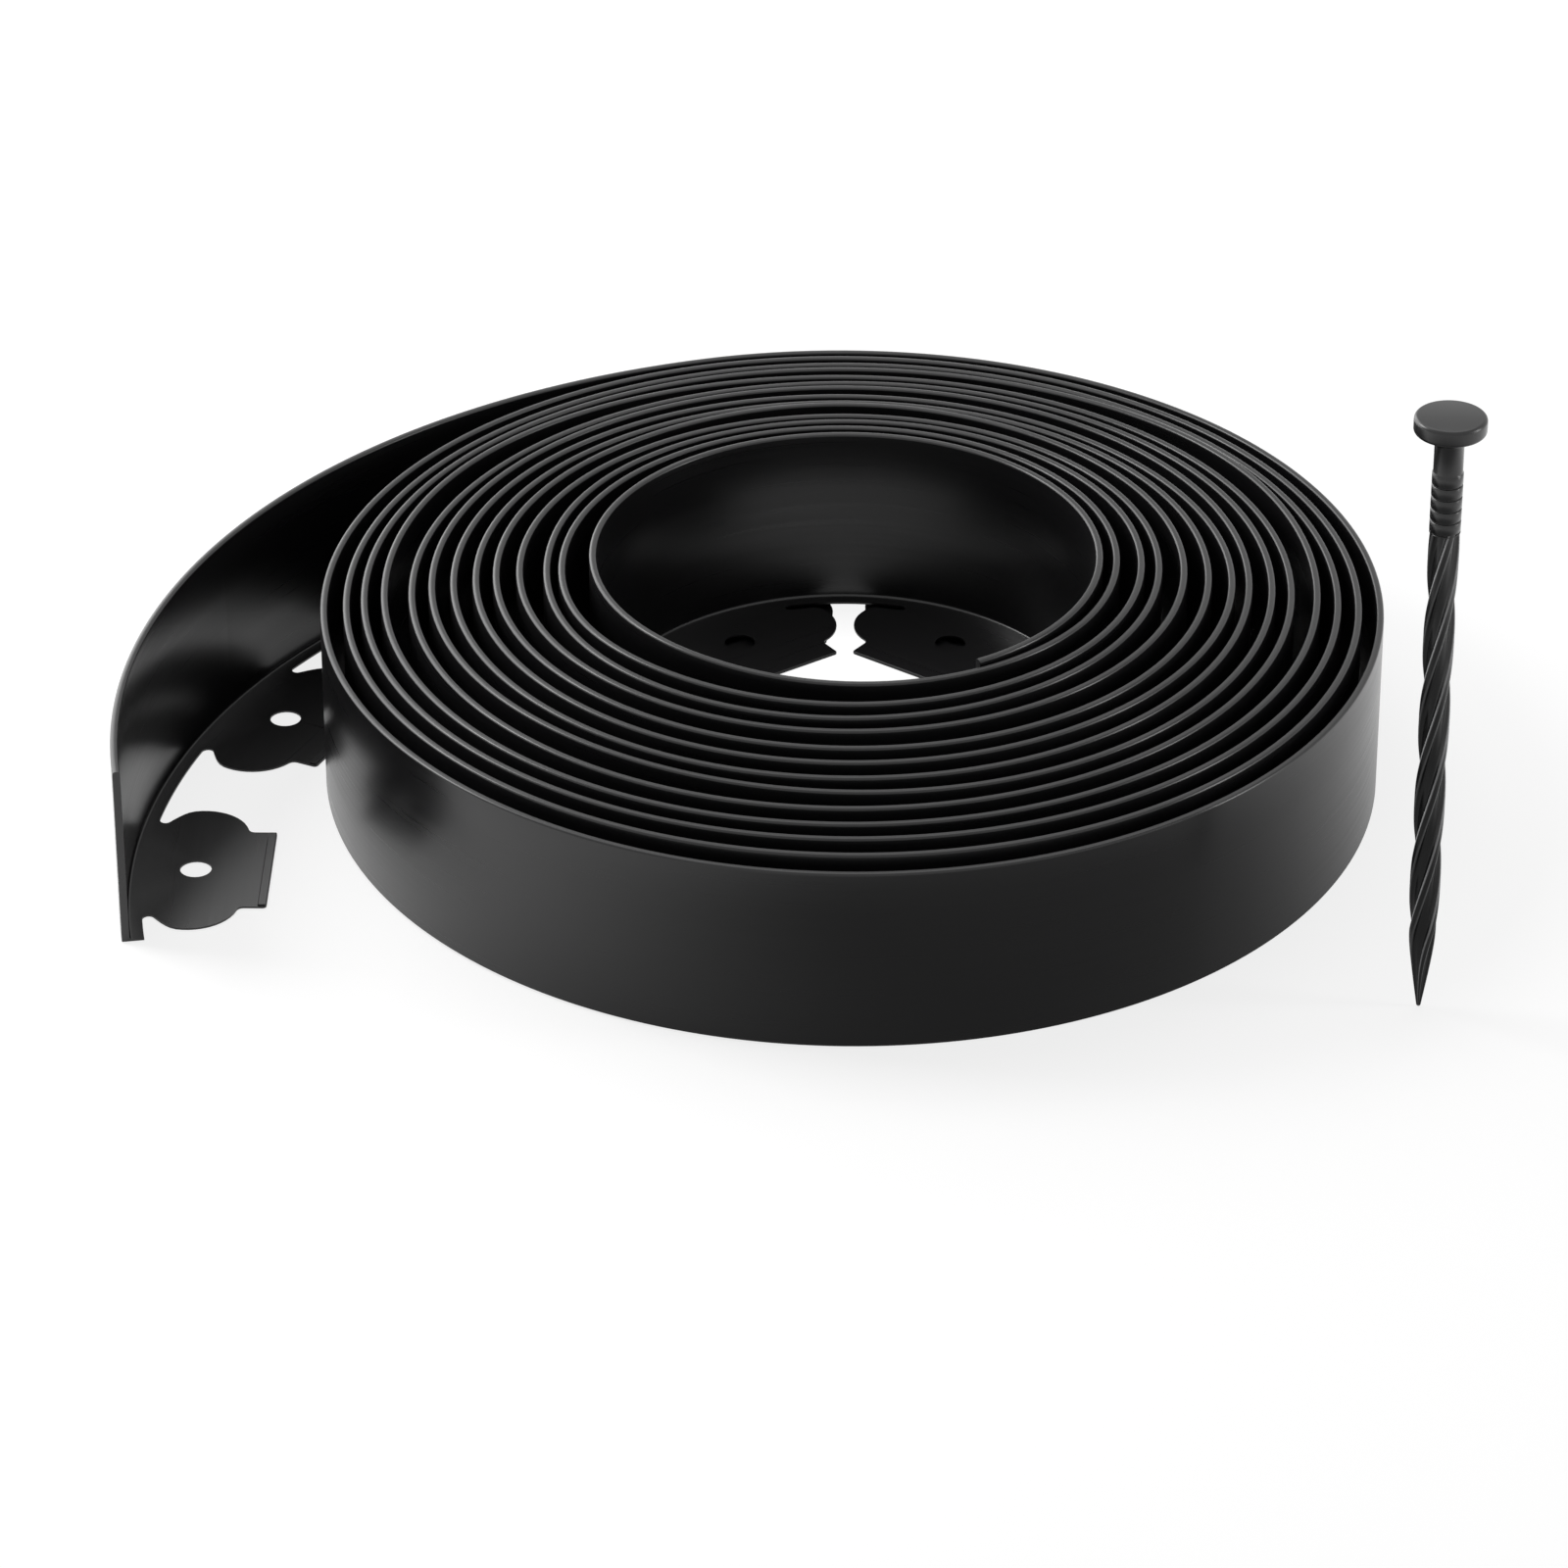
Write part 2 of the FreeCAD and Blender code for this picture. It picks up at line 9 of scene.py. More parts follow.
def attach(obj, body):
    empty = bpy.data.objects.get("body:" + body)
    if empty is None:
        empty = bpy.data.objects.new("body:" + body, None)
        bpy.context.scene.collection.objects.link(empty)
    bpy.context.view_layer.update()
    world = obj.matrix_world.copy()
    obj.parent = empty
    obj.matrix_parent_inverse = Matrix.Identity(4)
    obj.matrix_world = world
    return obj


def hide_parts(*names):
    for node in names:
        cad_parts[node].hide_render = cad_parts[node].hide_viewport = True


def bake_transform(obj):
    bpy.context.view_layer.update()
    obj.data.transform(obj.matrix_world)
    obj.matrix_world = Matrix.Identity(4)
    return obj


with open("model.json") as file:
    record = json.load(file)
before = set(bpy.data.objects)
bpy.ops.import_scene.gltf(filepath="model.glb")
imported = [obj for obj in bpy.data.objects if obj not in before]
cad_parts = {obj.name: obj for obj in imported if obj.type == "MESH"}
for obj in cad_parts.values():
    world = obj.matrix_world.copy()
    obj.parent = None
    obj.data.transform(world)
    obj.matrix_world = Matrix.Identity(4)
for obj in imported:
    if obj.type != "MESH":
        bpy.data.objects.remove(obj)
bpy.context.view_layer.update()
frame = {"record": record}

# Camera
# It looks down on the set from the front at about 31 degrees, from 2.2 m away with a long lens.
# Its place is counted from the coil's centre on the floor.
CAMERA_PLACE = (-0.0197, -1.9147, 1.1266)
LOOKS_DOWN = 30.66
LENS = 157.5
SENSOR_WIDTH = 36
SIGHT_END = 50
mounts = {mount["name"]: mount for mount in frame["record"]["mounts"]}
coil_centre = Vector(mounts["coil_core"]["pos_m"][:2] + [0])
camera = bpy.data.objects.new("camera", bpy.data.cameras.new("camera"))
camera.data.lens = LENS
camera.data.sensor_width = SENSOR_WIDTH
camera.data.clip_end = SIGHT_END
camera.location = coil_centre + Vector(CAMERA_PLACE)
camera.rotation_euler = (math.radians(90 - LOOKS_DOWN), 0, 0)
bpy.context.scene.collection.objects.link(camera)
bpy.context.scene.camera = camera
bpy.context.scene.view_settings.view_transform = "Standard"

# Light
# A white room: an even sky, a wide soft box overhead, a wide window behind on the left and a
# stronger box in front of it that draw the bright line on the rims, and a strip on the right.
DIM = (0.2, 0.2, 0.2, 1)
WHITE = (1, 1, 1, 1)
SET_MIDDLE = (0, 0, 0.03)
world = bpy.data.worlds.new("studio")
bpy.context.scene.world = world
world.use_nodes = True
sky_nodes = world.node_tree.nodes
sky_links = world.node_tree.links
dim_sky = sky_nodes["Background"]
dim_sky.inputs["Color"].default_value = DIM
white_sky = sky_nodes.new("ShaderNodeBackground")
white_sky.inputs["Color"].default_value = WHITE

# The camera sees the white sky, straight or in a reflection, and the dim one lights the set
sky_rays = sky_nodes.new("ShaderNodeLightPath")
seen = sky_rays.outputs["Is Camera Ray"]
for ray in ("Is Glossy Ray", "Is Transmission Ray"):
    either = sky_nodes.new("ShaderNodeMath")
    either.operation = "MAXIMUM"
    sky_links.new(seen, either.inputs[0])
    sky_links.new(sky_rays.outputs[ray], either.inputs[1])
    seen = either.outputs[0]
backdrop = sky_nodes.new("ShaderNodeMixShader")
sky_links.new(seen, backdrop.inputs[0])
sky_links.new(dim_sky.outputs[0], backdrop.inputs[1])
sky_links.new(white_sky.outputs[0], backdrop.inputs[2])
sky_links.new(backdrop.outputs[0], sky_nodes["World Output"].inputs["Surface"])


def soft_box(name, place, faces, width, height, power):
    """A rectangular lamp, turned to face a point."""
    lamp = bpy.data.lights.new(name, "AREA")
    lamp.shape = "RECTANGLE"
    lamp.size = width
    lamp.size_y = height
    lamp.energy = power
    holder = bpy.data.objects.new(name, lamp)
    holder.location = place
    holder.rotation_euler = (Vector(faces) - Vector(place)).to_track_quat("-Z", "Y").to_euler()
    bpy.context.scene.collection.objects.link(holder)


soft_box("overhead_box", place=(0, 0.5, 1.6), faces=(0, 0, 0), width=1.6, height=1.0, power=7)
soft_box("left_window", place=(-1.15, 0.95, 0.72), faces=SET_MIDDLE, width=2.1, height=1.3, power=23)
soft_box("left_box", place=(-1.2, 0.4, 1.15), faces=SET_MIDDLE, width=0.6, height=0.6, power=12)
soft_box("right_strip", place=(1.6, -0.3, 0.4), faces=SET_MIDDLE, width=0.3, height=0.9, power=7)

# Floor
# Matt white paper, on which the set stands. Its reflection in the plastic is painted: a painted reflection,
# darker in front on the right, with a painted glow. In the coil's core it glows brighter, painted light that
# lifts the shadow there, and far from the set it is white by itself.
FLOOR_REACH = 4
FLOOR_DROP = 0.0002
PAPER_TONE = 0.28
# Painted reflection: the tone that the plastic mirrors, darkest within one distance of a point, and palest
# past another
PAINTED_SHADE_PLACE = (0.14, -0.3, 0)
DARK_WITHIN = 0.12
PALE_PAST = 0.38
DARKEST = 0.08
PALEST = 0.95
# Painted glow of the paper in a reflection: by how much it follows that tone, and what it has besides
GLOW_OF_TONE = 0.45
GLOW_BESIDES = 0.25
# How white the paper looks by itself, with painted light in the coil's core that lifts its shadow: distance
# from the coil's centre, strength
BACKDROP_AND_CORE_LIGHT_STEPS = ((0.08, 1), (0.12, 0.78), (0.65, 0.78), (1, 1))
floor_shape = bmesh.new()
bmesh.ops.create_grid(floor_shape, x_segments=1, y_segments=1, size=FLOOR_REACH)
floor_mesh = bpy.data.meshes.new("floor")
floor_shape.to_mesh(floor_mesh)
floor_shape.free()
floor = bpy.data.objects.new("floor", floor_mesh)
floor.location.z = -FLOOR_DROP
bpy.context.scene.collection.objects.link(floor)

paper = bpy.data.materials.new("white_paper")
paper.use_nodes = True
paper_nodes = paper.node_tree.nodes
paper_links = paper.node_tree.links
matt = paper_nodes["Principled BSDF"]
matt.inputs["Roughness"].default_value = 1
matt.inputs["Specular IOR Level"].default_value = 0
matt.inputs["Emission Color"].default_value = WHITE
paper_place = paper_nodes.new("ShaderNodeTexCoord")
paper_rays = paper_nodes.new("ShaderNodeLightPath")

# The paper's own tone under the lamps, and the painted tone that a reflection of it shows
from_painted_shade = paper_nodes.new("ShaderNodeVectorMath")
from_painted_shade.operation = "DISTANCE"
from_painted_shade.inputs[1].default_value = PAINTED_SHADE_PLACE
paper_links.new(paper_place.outputs["Object"], from_painted_shade.inputs[0])
painted_reflection = paper_nodes.new("ShaderNodeMapRange")
painted_reflection.interpolation_type = "SMOOTHSTEP"
painted_reflection.inputs["From Min"].default_value = DARK_WITHIN
painted_reflection.inputs["From Max"].default_value = PALE_PAST
painted_reflection.inputs["To Min"].default_value = DARKEST
painted_reflection.inputs["To Max"].default_value = PALEST
paper_links.new(from_painted_shade.outputs["Value"], painted_reflection.inputs["Value"])
tone_and_painted_reflection = paper_nodes.new("ShaderNodeMix")
tone_and_painted_reflection.inputs["A"].default_value = PAPER_TONE
paper_links.new(paper_rays.outputs["Is Glossy Ray"], tone_and_painted_reflection.inputs["Factor"])
paper_links.new(painted_reflection.outputs[0], tone_and_painted_reflection.inputs["B"])
paper_links.new(tone_and_painted_reflection.outputs["Result"], matt.inputs["Base Color"])

# The glow of the paper: a painted glow in a reflection, and as the camera sees it
reflection_glow_by_tone = paper_nodes.new("ShaderNodeMath")
reflection_glow_by_tone.operation = "MULTIPLY_ADD"
reflection_glow_by_tone.inputs[1].default_value = GLOW_OF_TONE
reflection_glow_by_tone.inputs[2].default_value = GLOW_BESIDES
paper_links.new(painted_reflection.outputs[0], reflection_glow_by_tone.inputs[0])
# The glow that shows only in reflections: a painted reflection
painted_reflection_glow = paper_nodes.new("ShaderNodeMath")
painted_reflection_glow.operation = "MULTIPLY"
paper_links.new(reflection_glow_by_tone.outputs[0], painted_reflection_glow.inputs[0])
paper_links.new(paper_rays.outputs["Is Glossy Ray"], painted_reflection_glow.inputs[1])
from_coil = paper_nodes.new("ShaderNodeVectorMath")
from_coil.operation = "DISTANCE"
from_coil.inputs[1].default_value = coil_centre
paper_links.new(paper_place.outputs["Object"], from_coil.inputs[0])
# Stronger in the coil's core: painted light that lifts the shadow there to white
backdrop_and_core_light_glow = paper_nodes.new("ShaderNodeValToRGB")
stops = backdrop_and_core_light_glow.color_ramp.elements
for distance, strength in BACKDROP_AND_CORE_LIGHT_STEPS[1:-1]:
    stops.new(distance)
for stop, (distance, strength) in zip(stops, BACKDROP_AND_CORE_LIGHT_STEPS):
    stop.position = distance
    stop.color = (strength, strength, strength, 1)
paper_links.new(from_coil.outputs["Value"], backdrop_and_core_light_glow.inputs[0])
glow = paper_nodes.new("ShaderNodeMath")
glow.operation = "MULTIPLY_ADD"
paper_links.new(paper_rays.outputs["Is Camera Ray"], glow.inputs[0])
paper_links.new(backdrop_and_core_light_glow.outputs["Color"], glow.inputs[1])
paper_links.new(painted_reflection_glow.outputs[0], glow.inputs[2])
paper_links.new(glow.outputs[0], matt.inputs["Emission Strength"])
floor_mesh.materials.append(paper)

# The edging strip
# One long extrusion of black polyethylene, L-shaped: an upright wall and a thin flange that
# is punched into tabs, each with an anchor hole and a raised lip along its end. It is modelled
# flat, one tab at a time, as it leaves the punch, and then bent round the path of the coil.
MM = 0.001  # sizes are in millimetres, and the scene is in metres
WALL_HEIGHT = 61
WALL = 2.4
FLANGE = 0.6
FOOT = 7
PITCH = 108
RIM_ROUND = 0.8
ROOT_ROUND = 1.0
EDGE_ROUND = 0.2
HOLE_INSET = 23
HOLE_RADIUS = 5
EAR_RADIUS = 15.3
EAR_OFFSET = 20.3
TAB_REACH = 47
TAB_HALF = 22.5
TAB_ROUNDING = 2.2
CORNER_ROUND = 1.2
LIP_WIDTH = 2.7
LIP_EDGE = 0.2
# How far the lip stands up, on the coil and on the free end
COIL_LIP = 0.3
FREE_LIP = 0.5
# Faces along the wall, along the foot beside a tab, and round each curve
COLUMNS = 24
FOOT_STEPS = 5
ROUND_STEPS = 3
NOTCH_STEPS = 6
EAR_STEPS = 16
SHOULDER_STEPS = 4
HOLE_STEPS = 24
# How near a point is that counts as on the end of a length, and as on a cut
AT_END = 0.001
AT_CUT = 0.0001


def arc_points(centre, radius, start, end, steps):
    """Points of an arc, from one angle to another in degrees, both ends included."""
    points = []
    for step in range(steps + 1):
        angle = math.radians(start + (end - start) * step / steps)
        points.append((centre[0] + radius * math.cos(angle), centre[1] + radius * math.sin(angle)))
    return points


def wall_section():
    """Section of the wall: up its outer face, over the rim and down to the flange's top."""
    outer = [(EDGE_ROUND, 0), (0, EDGE_ROUND), (0, WALL_HEIGHT / 3), (0, WALL_HEIGHT * 2 / 3)]
    rim_outer = (RIM_ROUND, WALL_HEIGHT - RIM_ROUND)
    rim_inner = (WALL - RIM_ROUND, WALL_HEIGHT - RIM_ROUND)
    rim = arc_points(rim_outer, RIM_ROUND, 180, 90, ROUND_STEPS)
    rim += arc_points(rim_inner, RIM_ROUND, 90, 0, ROUND_STEPS)
    inner = [(WALL, WALL_HEIGHT * 2 / 3), (WALL, WALL_HEIGHT / 3)]
    root = arc_points((WALL + ROOT_ROUND, FLANGE + ROOT_ROUND), ROOT_ROUND, 180, 270, ROUND_STEPS)
    return outer + rim + inner + root


def half_tab():
    """Outline of one side of a tab, from the notch at the foot to the rounded corner at its end."""
    drop = HOLE_INSET - FOOT - TAB_ROUNDING
    notch_x = EAR_OFFSET + math.sqrt((EAR_RADIUS + TAB_ROUNDING) ** 2 - drop ** 2)
    to_ear = math.degrees(math.atan2(drop, EAR_OFFSET - notch_x))
    notch = (notch_x, FOOT + TAB_ROUNDING)
    points = arc_points(notch, TAB_ROUNDING, 270, to_ear, NOTCH_STEPS)
    across = TAB_HALF + TAB_ROUNDING - EAR_OFFSET
    shoulder_y = HOLE_INSET + math.sqrt((EAR_RADIUS + TAB_ROUNDING) ** 2 - across ** 2)
    to_shoulder = math.degrees(math.atan2(shoulder_y - HOLE_INSET, across))
    ear = (EAR_OFFSET, HOLE_INSET)
    points += arc_points(ear, EAR_RADIUS, to_ear - 180, to_shoulder, EAR_STEPS)[1:]
    shoulder = (TAB_HALF + TAB_ROUNDING, shoulder_y)
    points += arc_points(shoulder, TAB_ROUNDING, to_shoulder + 180, 180, SHOULDER_STEPS)[1:]
    corner = (TAB_HALF - CORNER_ROUND, TAB_REACH - CORNER_ROUND)
    return points + arc_points(corner, CORNER_ROUND, 0, 90, ROUND_STEPS)


def edges_at(verts):
    """The edges that meet at some vertices, each once and always in the same order."""
    return list(dict.fromkeys(edge for vert in verts for edge in vert.link_edges))


def raise_edges(shape, edges, height):
    """Extrudes edges upward, and gives the new ones."""
    grown = bmesh.ops.extrude_edge_only(shape, edges=edges)["geom"]
    verts = [item for item in grown if isinstance(item, bmesh.types.BMVert)]
    bmesh.ops.translate(shape, verts=verts, vec=(0, 0, height))
    return [item for item in grown if isinstance(item, bmesh.types.BMEdge)]


def flat_length(lip_rise):
    """One flat length of the strip with one tab, whose middle line is x = 0."""
    # The wall, and the two lines at its foot where the flange begins
    shape = bmesh.new()
    section = [shape.verts.new((-PITCH / 2, y, z)) for y, z in wall_section()]
    edges = [shape.edges.new(pair) for pair in zip(section, section[1:])]
    low_root = [section[0]]
    high_root = [section[-1]]
    for column in range(COLUMNS):
        grown = bmesh.ops.extrude_edge_only(shape, edges=edges)["geom"]
        verts = [item for item in grown if isinstance(item, bmesh.types.BMVert)]
        edges = [item for item in grown if isinstance(item, bmesh.types.BMEdge)]
        bmesh.ops.translate(shape, verts=verts, vec=(PITCH / COLUMNS, 0, 0))
        low_root.append(min(verts, key=lambda vert: (vert.co.z, vert.co.y)))
        high_root.append(max(verts, key=lambda vert: (vert.co.y, -vert.co.z)))

    # The cut edges of the flange, and its two faces from the wall to them, round the hole
    side = half_tab()
    to_notch = side[0][0] - PITCH / 2
    foot = [(PITCH / 2 + to_notch * step / FOOT_STEPS, FOOT) for step in range(FOOT_STEPS)]
    ahead = foot + side
    outline = ahead + [(-x, y) for x, y in reversed(ahead)]
    row = [shape.verts.new((x, y, 0)) for x, y in outline]
    low_edge = [shape.edges.new(pair) for pair in zip(row, row[1:])]
    high_edge = raise_edges(shape, low_edge, FLANGE)
    hole_place = Matrix.Translation((0, HOLE_INSET, 0))
    hole = bmesh.ops.create_circle(
        shape, segments=HOLE_STEPS, radius=HOLE_RADIUS, matrix=hole_place
    )["verts"]
    low_hole = edges_at(hole)
    high_hole = raise_edges(shape, low_hole, FLANGE)
    low_face = (low_root, low_edge, low_hole)
    high_face = (high_root, high_edge, high_hole)
    for root, cut_edge, hole_edge in (low_face, high_face):
        border = [shape.edges.get(pair) for pair in zip(root, root[1:])] + cut_edge + hole_edge
        cut_verts = [vert for edge in cut_edge for vert in edge.verts]
        for root_end in (root[0], root[-1]):
            cut_end = next(vert for vert in cut_verts if abs(vert.co.x - root_end.co.x) < AT_END)
            border.append(shape.edges.new((root_end, cut_end)))
        bmesh.ops.triangle_fill(shape, use_beauty=True, edges=border)

    # The lip, which starts inside the flange
    lip = bmesh.ops.create_cube(shape, size=1)["verts"]
    lip_height = FLANGE / 2 + lip_rise
    bmesh.ops.scale(shape, verts=lip, vec=(2 * TAB_HALF - CORNER_ROUND, LIP_WIDTH, lip_height))
    lip_place = (0, TAB_REACH - LIP_WIDTH / 2 - LIP_EDGE / 2, FLANGE / 2 + lip_height / 2)
    bmesh.ops.translate(shape, verts=lip, vec=lip_place)
    bmesh.ops.bevel(
        shape,
        geom=edges_at(lip),
        offset=LIP_EDGE,
        segments=1,
        profile=0.5,
        affect="EDGES",
        material=-1,
    )
    bmesh.ops.recalc_face_normals(shape, faces=shape.faces)
    return shape


def close_end(shape, x):
    """Fills the open section of a flat length at one place."""
    edges = []
    for edge in shape.edges:
        if edge.is_boundary and all(abs(vert.co.x - x) < AT_END for vert in edge.verts):
            edges.append(edge)
    # In a fixed order, so that each run fills the section with the same faces
    edges.sort(key=lambda edge: sorted(vert.co[1:] for vert in edge.verts))
    bmesh.ops.triangle_fill(shape, use_beauty=True, edges=edges)


def half_length(whole, ahead):
    """The half of a flat length ahead of its tab's middle, or the half behind it."""
    half = whole.copy()
    bmesh.ops.bisect_plane(
        half,
        geom=half.verts[:] + half.edges[:] + half.faces[:],
        dist=AT_CUT,
        plane_co=(0, 0, 0),
        plane_no=(1, 0, 0),
        clear_inner=ahead,
        clear_outer=not ahead,
    )
    close_end(half, 0)
    return half


covered_length = flat_length(COIL_LIP)
free_length = flat_length(FREE_LIP)
covered_ahead = half_length(covered_length, True)
covered_behind = half_length(covered_length, False)
free_ahead = half_length(free_length, True)
free_behind = half_length(free_length, False)
inner_last = covered_length.copy()
close_end(inner_last, PITCH / 2)
cut_first = free_length.copy()
close_end(cut_first, -PITCH / 2)

# The strip's polyethylene: near black, satin, a little cloudy in tone, with faint draw lines
# along the strip and a fine grain. The draw lines follow the UV map, which is the flat strip.
EDGING_DARK = (0.0022, 0.0021, 0.0024, 1)
EDGING_PALE = (0.005, 0.0048, 0.0054, 1)
EDGING_SMOOTH = 0.27
EDGING_ROUGH = 0.32
# How close the draw lines' pattern is along the strip, across it and through it
DRAW_LINES = (9, 900, 1)


def add_noise(material, place, scale, detail):
    """A cloudy pattern in a material, read at a place."""
    noise = material.node_tree.nodes.new("ShaderNodeTexNoise")
    noise.inputs["Scale"].default_value = scale
    noise.inputs["Detail"].default_value = detail
    material.node_tree.links.new(place, noise.inputs["Vector"])
    return noise.outputs[0]


def add_bump(material, height, strength, distance):
    """A bump in a material's surface that follows a pattern."""
    bump = material.node_tree.nodes.new("ShaderNodeBump")
    bump.inputs["Strength"].default_value = strength
    bump.inputs["Distance"].default_value = distance
    material.node_tree.links.new(height, bump.inputs["Height"])
    return bump


edging_plastic = bpy.data.materials.new("black_polyethylene")
edging_plastic.use_nodes = True
edging_nodes = edging_plastic.node_tree.nodes
edging_links = edging_plastic.node_tree.links
edging_satin = edging_nodes["Principled BSDF"]
edging_satin.inputs["Specular IOR Level"].default_value = 0.45
edging_place = edging_nodes.new("ShaderNodeTexCoord")
along = edging_nodes.new("ShaderNodeMapping")
along.inputs["Scale"].default_value = DRAW_LINES
edging_links.new(edging_place.outputs["UV"], along.inputs["Vector"])
draw_lines = add_noise(edging_plastic, along.outputs[0], scale=1, detail=3)
clouds = add_noise(edging_plastic, edging_place.outputs["Object"], scale=14, detail=2)
edging_grain = add_noise(edging_plastic, edging_place.outputs["Object"], scale=1100, detail=2)
edging_tone = edging_nodes.new("ShaderNodeMix")
edging_tone.data_type = "RGBA"
edging_tone.inputs["A"].default_value = EDGING_DARK
edging_tone.inputs["B"].default_value = EDGING_PALE
edging_links.new(clouds, edging_tone.inputs["Factor"])
edging_links.new(edging_tone.outputs["Result"], edging_satin.inputs["Base Color"])
edging_sheen = edging_nodes.new("ShaderNodeMapRange")
edging_sheen.inputs["From Min"].default_value = 0.3
edging_sheen.inputs["From Max"].default_value = 0.7
edging_sheen.inputs["To Min"].default_value = EDGING_SMOOTH
edging_sheen.inputs["To Max"].default_value = EDGING_ROUGH
edging_links.new(draw_lines, edging_sheen.inputs["Value"])
edging_links.new(edging_sheen.outputs[0], edging_satin.inputs["Roughness"])
lines_bump = add_bump(edging_plastic, draw_lines, strength=0.05, distance=0.0001)
edging_bump = add_bump(edging_plastic, edging_grain, strength=0.1, distance=0.00005)
edging_links.new(lines_bump.outputs[0], edging_bump.inputs["Normal"])
edging_links.new(edging_bump.outputs[0], edging_satin.inputs["Normal"])

# The path of the strip
# It runs clockwise and inward from the point where the free end leaves the coil. A turn is
# wound by hand, so it is pressed in or out here and there, and it stands on the flange of the
# turn outside it.
COIL_RADIUS = 173.7
CORE_RADIUS = mounts["coil_core"]["dims"]["r_mm"] + WALL
FREE_RADIUS = 247
# Azimuth at which the coil begins, and turns from there to the round core and to the inner end
TANGENT = 104.9
CORE_START = 12.625
TURNS = 13.458
# Where the core begins the strip steps in by this much, over this share of a turn
CORE_STEP = 3.4
CORE_STEP_TURNS = 0.25
TURN_PITCH = (COIL_RADIUS - CORE_RADIUS - CORE_STEP) / CORE_START
# Where a turn is pressed: after how many turns, over what share of a turn, and how far outward
PRESSED = (
    (0.75, 0.25, -1.2),
    (3.19, 0.07, 2.6),
    (3.90, 0.08, 2.8),
    (5.62, 0.10, -2.2),
    (7.30, 0.09, 2.3),
    (9.04, 0.08, 2.6),
    (10.80, 0.08, -2.0),
    (11.72, 0.07, 2.0),
)
# Slow waves in the winding: how far, how many to a turn, and where in the wave it starts. They
# fade out over part of a turn at both ends.
UNEVEN = ((0.55, 0.37, 0.4), (0.4, 1.31, 2.0), (0.25, 2.17, 1.0))
EASE_TURNS = 0.5
# How far a turn lies above the one outside it. The first turn climbs between two angles, and the
# innermost levels out between two. Angles are in degrees along the strip, inward from its tangent.
LAYER_RISE = 1.22
RAMP_START = 190
RAMP_END = 280
CORE_RAMP_START = 4500
CORE_RAMP_END = 4570
# The direction of travel is taken to a point this far ahead
LOOK_AHEAD = 0.5
inner_end = 360 * TURNS


def smooth(share):
    """Goes from 0 to 1 with a gentle start and end."""
    share = min(1, max(0, share))
    return share * share * (3 - 2 * share)


def wall_radius(turn):
    """Radius of the wall's outer face after so many turns."""
    before_core = CORE_START - turn
    if before_core <= 0:
        return CORE_RADIUS
    radius = CORE_RADIUS + TURN_PITCH * before_core + CORE_STEP * min(1, before_core / CORE_STEP_TURNS)
    ease = min(1, turn / EASE_TURNS, before_core / EASE_TURNS)
    for pressed_turn, width, push in PRESSED:
        radius += push * math.exp(-((turn - pressed_turn) / width) ** 2)
    for amount, cycles, phase in UNEVEN:
        radius += ease * amount * math.sin(2 * math.pi * cycles * turn + phase)
    return radius


def strip_level(angle):
    """Height of the strip's underside: flat, climbing with the turns, and flat again at the core."""
    if angle <= RAMP_END:
        return LAYER_RISE * smooth((angle - RAMP_START) / (RAMP_END - RAMP_START))
    climbing = LAYER_RISE * (1 + (angle - RAMP_END) / 360)
    level = LAYER_RISE * (1 + (inner_end - RAMP_END) / 360)
    levelled = smooth((angle - CORE_RAMP_START) / (CORE_RAMP_END - CORE_RAMP_START))
    return climbing + (level - climbing) * levelled


def outward(angle):
    """Direction from the coil's axis to the strip."""
    azimuth = math.radians(TANGENT - angle)
    return Vector((math.cos(azimuth), math.sin(azimuth), 0))


free_centre = outward(0) * (wall_radius(0) - FREE_RADIUS)


def strip_place(angle):
    """Point on the wall's outer face, direction of travel and direction inward."""
    out = outward(angle)
    travel = Vector((out.y, -out.x, 0))
    if angle <= 0:
        return free_centre + out * FREE_RADIUS, travel, -out
    point = out * wall_radius(angle / 360)
    ahead = outward(angle + LOOK_AHEAD) * wall_radius((angle + LOOK_AHEAD) / 360)
    travel = (ahead - point).normalized()
    return point, travel, Vector((travel.y, -travel.x, 0))


# Where each length starts, where its tab is and where it ends. Each turn takes a whole number
# of tabs, and a gap between tabs lines up behind the core in every turn.
FREE_TABS = 3
PITCH_ANGLE = math.degrees(PITCH / FREE_RADIUS)
CUT_END = TANGENT - 189.2
FIRST_TAB = TANGENT - 179.2
FIRST_GAP = TANGENT - 89.5
lengths = []
for index in range(FREE_TABS):
    tab = FIRST_TAB + index * PITCH_ANGLE
    lengths.append((tab - PITCH_ANGLE / 2, tab, tab + PITCH_ANGLE / 2))
lengths[0] = (CUT_END, lengths[0][1], lengths[0][2])
coil_seam = lengths[-1][2]
seam_run = math.radians(-coil_seam) * FREE_RADIUS
gap_run = math.radians(FIRST_GAP) * wall_radius(0)
lengths.append((coil_seam, math.degrees((gap_run - seam_run) / 2 / FREE_RADIUS), FIRST_GAP))
turn_start = FIRST_GAP
while turn_start < inner_end:
    tab_count = round(2 * math.pi * wall_radius((turn_start + 180) / 360) / PITCH)
    tab_step = 360 / tab_count
    for index in range(tab_count):
        start = turn_start + index * tab_step
        end = inner_end if start + tab_step * 3 / 2 > inner_end else start + tab_step
        if start + tab_step * 3 / 4 < end:
            lengths.append((start, start + tab_step / 2, end))
    turn_start += 360

# Along a length, this much on each side of the tab's middle keeps its size, and the rest takes
# up the room. The curved foot goes over into the straight tab between two distances from the wall.
TAB_ZONE = 38
RIGID_FROM = 7.2
RIGID_TO = 20
# Points this near, in metres, are welded, and edges sharper than so many degrees stay sharp
STRIP_WELD = 0.00001
STRIP_SHARP = 35


